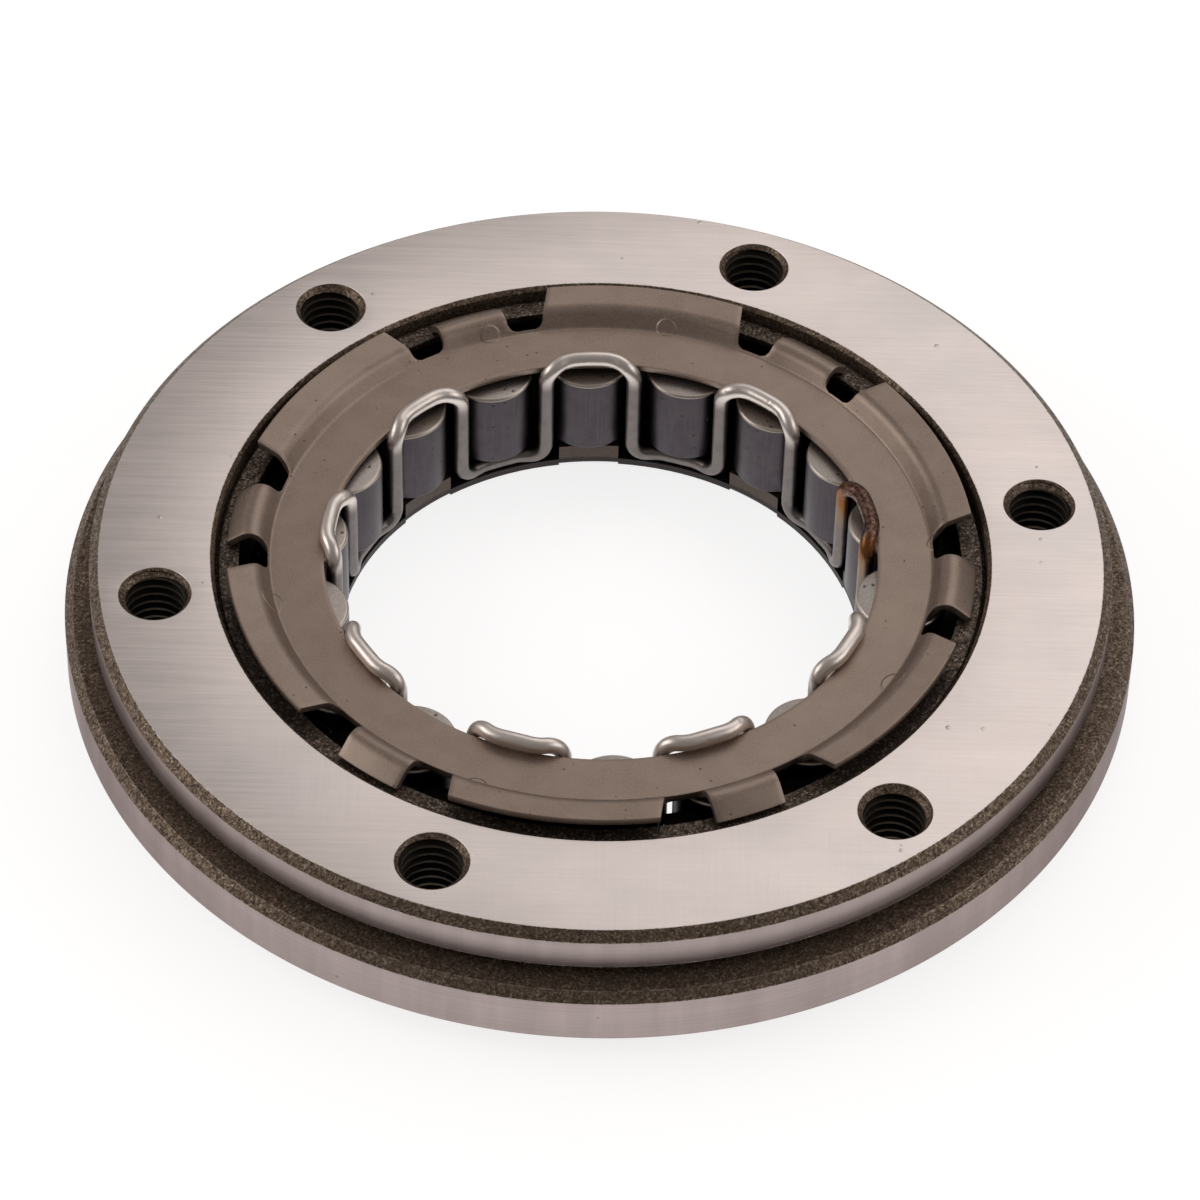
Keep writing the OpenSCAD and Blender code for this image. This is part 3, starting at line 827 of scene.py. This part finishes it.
# Plates
def bent_sheet(path):
    """Heights of the upper and the under surface of a sheet over the radius, as two curves."""
    climbs = []
    for i in range(1, len(path) - 1):
        u = Vector(path[i]) - Vector(path[i - 1])
        v = Vector(path[i + 1]) - Vector(path[i])
        climbs.append(u.x * v.y - u.y * v.x > 0)
    upper = [0.0] + [CREASE_R if c else 1.0 + SHEET_T for c in climbs] + [0.0]
    under = [0.0] + [1.0 + SHEET_T if c else 1.0 for c in climbs] + [0.0]
    shifted = []
    last = len(path) - 1
    for i, p in enumerate(path):
        u = (Vector(path[max(i, 1)]) - Vector(path[max(i, 1) - 1])).normalized()
        v = (Vector(path[min(i, last - 1) + 1]) - Vector(path[min(i, last - 1)])).normalized()
        right = Vector((u.y, -u.x)) + Vector((v.y, -v.x))
        shifted.append(tuple(Vector(p) + right * SHEET_T / (1 + u.dot(v))))
    return rounded(path, upper, 16, False), rounded(shifted, under, 16, False)


def height_on(curve, r):
    """Height of a (radius, height) curve at a radius."""
    return float(np.interp(r, [p[0] for p in curve], [p[1] for p in curve]))


def make_upper_plate():
    """The pressed ring with its two kinds of tabs, each swept from its own section."""
    slope = math.tan(math.radians(TAB_CLIMB))
    flat = [(UPPER_IN_R, UPPER_Z), (UPPER_BEND_R, UPPER_Z)]

    def crest(rise):
        return UPPER_BEND_R + (HOUSING_H + rise - UPPER_Z) / slope, HOUSING_H + rise

    long_curves = bent_sheet([*flat, crest(LONG_CREST), (LONG_EDGE_R, HOUSING_H + LONG_EDGE)])
    short_edge = LEDGE_Z + SHEET_T * SHORT_EDGE_SHARE + SHORT_EDGE_GAP
    short_curves = bent_sheet([*flat, crest(SHORT_CREST), (SHORT_EDGE_R, short_edge)])
    tabs = []
    for i in range(TAB_PAIRS):
        first = TAB_ANGLE + i * 360 / TAB_PAIRS
        tabs.append((first, SHORT_TAB_W, short_curves, 12))
        tabs.append((first + 180 / TAB_PAIRS, LONG_TAB_W, long_curves, 36))
    tabs.sort(key=lambda t: t[0])

    def corner_angle(w):
        across = w / 2 + NOTCH_R
        return math.asin(across / (NOTCH_FOOT_R + NOTCH_R))

    def half_angle(w, r):
        reach = NOTCH_FOOT_R + NOTCH_R
        side_r = math.hypot(math.sqrt(reach ** 2 - (w / 2 + NOTCH_R) ** 2), w / 2)
        if r >= side_r:
            return math.asin(w / 2 / r)
        turn = (reach ** 2 + r ** 2 - NOTCH_R ** 2) / (2 * reach * r)
        return corner_angle(w) - math.acos(min(1.0, turn))

    angles = []
    spans = []
    for i, (middle, w, _, count) in enumerate(tabs):
        a = math.radians(middle)
        half = corner_angle(w)
        start = len(angles)
        angles += [a + half * (2 * k / count - 1) for k in range(count)]
        spans.append((start, count))
        after = tabs[(i + 1) % len(tabs)]
        end = math.radians(after[0] + (360 if i == len(tabs) - 1 else 0)) - corner_angle(after[1])
        angles += [a + half + (end - a - half) * k / 6 for k in range(6)]
    columns = len(angles)
    ring_r = [UPPER_IN_R + 0.5 * k for k in range(12)] + list(np.linspace(38.0, NOTCH_FOOT_R, 7))
    points = []
    faces = []

    def add(r, a, z):
        points.append((r * math.cos(a), r * math.sin(a), z))
        return len(points) - 1

    upper = [[add(r, a, height_on(long_curves[0], r)) for a in angles] for r in ring_r]
    under = [[add(r, a, height_on(long_curves[1], r)) for a in angles] for r in ring_r]
    for i in range(len(ring_r) - 1):
        for k in range(columns):
            m = (k + 1) % columns
            faces.append((upper[i][k], upper[i + 1][k], upper[i + 1][m], upper[i][m]))
            faces.append((under[i][k], under[i][m], under[i + 1][m], under[i + 1][k]))
    for k in range(columns):
        m = (k + 1) % columns
        faces.append((upper[0][k], upper[0][m], under[0][m], under[0][k]))
    on_tab = set()
    steps = 34
    for (start, count), (middle, w, (top, low), _) in zip(spans, tabs):
        a = math.radians(middle)
        rows_up = [[upper[-1][(start + k) % columns] for k in range(count + 1)]]
        rows_low = [[under[-1][(start + k) % columns] for k in range(count + 1)]]
        on_tab |= {(start + k) % columns for k in range(count)}
        for s in range(1, steps + 1):
            row = []
            for curve in (top, low):
                r = NOTCH_FOOT_R + (curve[-1][0] - NOTCH_FOOT_R) * s / steps
                half = half_angle(w, r)
                z = height_on(curve, r)
                row.append([add(r, a + half * (2 * k / count - 1), z) for k in range(count + 1)])
            rows_up.append(row[0])
            rows_low.append(row[1])
        for s in range(steps):
            up, next_up = rows_up[s], rows_up[s + 1]
            down, next_down = rows_low[s], rows_low[s + 1]
            for k in range(count):
                faces.append((up[k], next_up[k], next_up[k + 1], up[k + 1]))
                faces.append((down[k], down[k + 1], next_down[k + 1], next_down[k]))
            faces.append((up[0], down[0], next_down[0], next_up[0]))
            faces.append((up[-1], next_up[-1], next_down[-1], down[-1]))
        for k in range(count):
            faces.append((rows_up[-1][k], rows_low[-1][k], rows_low[-1][k + 1], rows_up[-1][k + 1]))
    for k in range(columns):
        if k in on_tab:
            continue
        m = (k + 1) % columns
        faces.append((upper[-1][k], under[-1][k], under[-1][m], upper[-1][m]))
    plate = add_object("upper_plate_pressing", mesh_from("upper_plate_pressing", points, faces))
    bevel(plate, 0.05, 2, 50.0)
    return plate


# Wire
def wire_course():
    """Points of the wave: legs joined to the upper and lower runs by even bends."""
    bend = math.degrees(WIRE_TOP_BEND_R / WIRE_MEAN_R)
    low_bend = math.degrees(WIRE_LOW_BEND_R / WIRE_MEAN_R)
    top_leg, low_leg = WIRE_LEG_ANGLE, ROLLER_STEP - WIRE_LEG_ANGLE
    shoulder = WIRE_TOP_Z - WIRE_ARCH
    half = [(flat * (top_leg - bend), WIRE_TOP_Z - WIRE_ARCH * flat ** 2) for flat in (0.0, 0.33, 0.67)]
    for k in range(7):
        t = math.pi / 2 * k / 6
        half.append((top_leg - bend + bend * math.sin(t), shoulder - WIRE_TOP_BEND_R * (1 - math.cos(t))))
    reach = shoulder - WIRE_LOW_Z - WIRE_TOP_BEND_R - WIRE_LOW_BEND_R
    half += [(top_leg, shoulder - WIRE_TOP_BEND_R - reach * k / 4) for k in (1, 2, 3)]
    for k in range(7):
        t = math.pi / 2 * k / 6
        foot = WIRE_LOW_Z + WIRE_LOW_BEND_R * (1 - math.sin(t))
        half.append((top_leg + low_bend * (1 - math.cos(t)), foot))
    half += [(ROLLER_STEP - low_leg * k, WIRE_LOW_Z) for k in (0.4, 0.2)]

    def radius(a, z):
        top = z > (WIRE_TOP_Z + WIRE_LOW_Z) / 2
        away = abs(a) / top_leg if top else (ROLLER_STEP - a) / low_leg
        u = min(1.0, max(0.0, 1 - away) / WIRE_SWAY)
        out = (WIRE_TOP_R if top else WIRE_LOW_R) - WIRE_LEG_R
        return WIRE_LEG_R + out * u * u * (3 - 2 * u)

    half = [(a, radius(a, z), z) for a, z in half]
    wave = 2 * ROLLER_STEP
    course = []
    for j in range(ROLLER_COUNT // 2):
        course += [(a + j * wave, r, z) for a, r, z in half]
        course.append((ROLLER_STEP + j * wave, WIRE_LOW_R, WIRE_LOW_Z))
        course += [(wave - a + j * wave, r, z) for a, r, z in half[:0:-1]]
    spots = []
    for a, r, z in course:
        t = math.radians(a + ROLLER_ANGLE)
        spots.append(Vector((r * math.cos(t), r * math.sin(t), z)))
    return spots


def make_wire(sides=20):
    """One closed tube along the wave that the wire follows."""
    spots = wire_course()
    n = len(spots)
    centre = []
    for i in range(n):
        a, b, c, d = spots[i - 1], spots[i], spots[(i + 1) % n], spots[(i + 2) % n]
        steps = max(2, round((c - b).length / 0.35))
        for k in range(steps):
            t = k / steps
            centre.append(0.5 * (2 * b + (c - a) * t + (2 * a - 5 * b + 4 * c - d) * t ** 2
                                 + (3 * b - a - 3 * c + d) * t ** 3))
    count = len(centre)
    points = []
    faces = []
    for i, p in enumerate(centre):
        along = (centre[(i + 1) % count] - centre[i - 1]).normalized()
        out = Vector((p.x, p.y, 0)).normalized()
        u = (out - out.dot(along) * along).normalized()
        v = along.cross(u)
        for k in range(sides):
            t = TAU * k / sides
            points.append(p + WIRE_R * (math.cos(t) * u + math.sin(t) * v))
    for i in range(count):
        here, there = i * sides, (i + 1) % count * sides
        for k in range(sides):
            m = (k + 1) % sides
            faces.append((here + k, here + m, there + m, there + k))
    return add_object("wire_bend", mesh_from("wire_bend", points, faces, 60.0))


def make_rollers(look):
    """One rounded cylinder for each roller's body."""
    low, high = ROLLER_LOW, ROLLER_TOP
    corners = [(0, low), (ROLLER_R, low), (ROLLER_R, high), (0, high)]
    outline = rounded(corners, [0, ROLLER_EDGE_R, ROLLER_EDGE_R, 0], 4, False)
    mesh = solid_lathe("roller_turned", outline, 96)
    mesh.materials.append(look)
    for i in range(ROLLER_COUNT):
        name = f"{i + 1:02d}"
        a = math.radians(ROLLER_ANGLE + i * ROLLER_STEP)
        roller = add_object(f"roller_turned_{name}", mesh)
        roller.location = (ROLLER_CIRCLE_R * MM * math.cos(a), ROLLER_CIRCLE_R * MM * math.sin(a), 0)
        roller.rotation_euler = (0, 0, i * 2.4)
        dress(roller, f"roller_{name}_body", f"roller_{name}")


def make_spring(i, look):
    """A folded strip between its seat and its roller, fixed to the housing."""
    a = math.radians(ROLLER_ANGLE + i * ROLLER_STEP)
    tilt = math.radians(RAMP_ANGLE)
    course = rounded(SPRING_PATH, [0, 0.3, 0.4, 1.2, 0], 6, False)
    left, right = [], []
    for j, p in enumerate(course):
        u = (Vector(course[min(j + 1, len(course) - 1)]) - Vector(course[max(j - 1, 0)])).normalized()
        across = Vector((u.y, -u.x)) * SPRING_T / 2
        left.append(Vector(p) - across)
        right.append(Vector(p) + across)
    loop = left + right[::-1]
    points = []
    low, high = SPRING_LOW, SPRING_LOW + SPRING_W
    for z, inset in ((low, 0.05), (low + 0.05, 0.0), (high - 0.05, 0.0), (high, 0.05)):
        for j, p in enumerate(loop):
            twin = loop[len(loop) - 1 - j]
            q = p + (twin - p).normalized() * inset
            x = ROLLER_CIRCLE_R + math.sin(tilt) * q.x + math.cos(tilt) * q.y
            y = math.cos(tilt) * q.x - math.sin(tilt) * q.y
            points.append((x * math.cos(a) - y * math.sin(a), x * math.sin(a) + y * math.cos(a), z))
    n = len(loop)
    half = len(left)
    faces = []
    for row in range(3):
        for j in range(n):
            m = (j + 1) % n
            faces.append((row * n + j, row * n + m, (row + 1) * n + m, (row + 1) * n + j))
    for j in range(half - 1):
        faces.append((j + 1, j, n - 1 - j, n - 2 - j))
        faces.append((3 * n + j, 3 * n + j + 1, 4 * n - 2 - j, 4 * n - 1 - j))
    name = f"{i + 1:02d}"
    spring = add_object(f"spring_strip_{name}", mesh_from(f"spring_strip_{name}", points, faces))
    dress(spring, "housing_body", f"spring_{name}", look)
    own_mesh(spring)


def dress(obj, body, node, look=None):
    """obj stands for the node and moves with the body."""
    if look is not None:
        obj.data.materials.clear()
        obj.data.materials.append(look)
    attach(obj, body)
    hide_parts(node)


def paint_node(node, look):
    """Gives a node of the frame a material and leaves its shape."""
    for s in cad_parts[node].material_slots:
        s.link = "OBJECT"
        s.material = look


# Stage
def make_floor():
    """A sheet of pale paper that glows a little, and keeps the object's shadow."""
    mesh = bpy.data.meshes.new("floor")
    mesh.from_pydata([(-4, -4, 0), (4, -4, 0), (4, 4, 0), (-4, 4, 0)], [], [(0, 1, 2, 3)])
    floor = add_object("floor", mesh)
    floor.location.z = -0.0002
    made = bpy.data.materials.new("floor")
    made.use_nodes = True
    shader = Shader(made.node_tree)
    paper = shader.node("ShaderNodeBsdfDiffuse", Color=PAPER)
    white = shader.node("ShaderNodeEmission", Color=WHITE, Strength=FLOOR_GLOW)
    rays = shader.tree.nodes.new("ShaderNodeLightPath").outputs
    seen = shader.either(rays["Is Camera Ray"], rays["Is Glossy Ray"], rays["Is Transmission Ray"])
    lit = shader.tree.nodes.new("ShaderNodeAddShader")
    shader.feed(lit, "0", paper.outputs[0])
    shader.feed(lit, "1", white.outputs[0])
    mixed = shader.tree.nodes.new("ShaderNodeMixShader")
    shader.feed(mixed, "0", seen)
    shader.feed(mixed, "1", paper.outputs[0])
    shader.feed(mixed, "2", lit.outputs[0])
    output = shader.node("ShaderNodeOutputMaterial")
    made.node_tree.links.new(mixed.outputs[0], output.inputs["Surface"])
    mesh.materials.append(made)


def make_world():
    """A dim studio with a brighter back wall."""
    world = bpy.data.worlds.new("studio")
    world.use_nodes = True
    bpy.context.scene.world = world
    shader = Shader(world.node_tree)
    toward = shader.tree.nodes.new("ShaderNodeTexCoord").outputs["Generated"]
    back = shader.step(shader.axis(toward, 1), -0.7, 0.45)
    tone = shader.mix(back, ROOM_FRONT, ROOM_BACK)
    room = shader.node("ShaderNodeBackground", Color=tone, Strength=1.0)
    output = shader.node("ShaderNodeOutputWorld")
    world.node_tree.links.new(room.outputs[0], output.inputs["Surface"])


def softbox(name, at, size, power, target=(0, 0, 0.01)):
    """A square lamp that points at the object."""
    data = bpy.data.lights.new(name, "AREA")
    data.shape = "RECTANGLE"
    data.size, data.size_y = size
    data.energy = power
    data.color = LAMP_TINT
    light = bpy.data.objects.new(name, data)
    bpy.context.scene.collection.objects.link(light)
    light.location = at
    light.rotation_euler = (Vector(target) - Vector(at)).to_track_quat("-Z", "Y").to_euler()


def make_lights():
    """One large lamp that the ground face mirrors, and a weaker one at each side."""
    softbox("back", (0.24, 0.48, 0.62), (0.66, 0.48), 0.87)
    softbox("left", (-0.66, 0.0, 0.42), (0.6, 0.4), 1.4)
    softbox("right", (0.64, -0.08, 0.44), (0.6, 0.4), 0.9)


def make_camera():
    """A long lens that frames the object as the photograph does."""
    data = bpy.data.cameras.new("camera")
    data.sensor_width = 36.0
    data.lens = CAMERA_LENS
    data.clip_start, data.clip_end = 0.01, 10.0
    camera = bpy.data.objects.new("camera", data)
    bpy.context.scene.collection.objects.link(camera)
    tilt = Matrix.Rotation(math.radians(CAMERA_TILT), 4, "X")
    roll = Matrix.Rotation(math.radians(CAMERA_ROLL), 4, "Z")
    camera.matrix_world = Matrix.Translation(Vector(CAMERA_AT) * MM) @ tilt @ roll
    bpy.context.scene.camera = camera


make_camera()
make_floor()
make_world()
make_lights()
bpy.context.scene.view_settings.view_transform = "Standard"

dress(make_housing(), "housing_body", "housing", material("housing_steel", housing_look))
sheet = material("phosphated_sheet", sheet_look)
dress(make_upper_plate(), "housing_body", "upper_plate", sheet)
dress(make_wire(), "housing_body", "retaining_wire", material("spring_wire", wire_look))
make_rollers(material("roller_steel", roller_look))
paint_node("outer_race", material("phosphated_race", race_look))
paint_node("lower_plate", material("lower_sheet", lower_sheet_look))
strip = material("spring_strip", spring_look)
for i in range(ROLLER_COUNT):
    make_spring(i, strip)
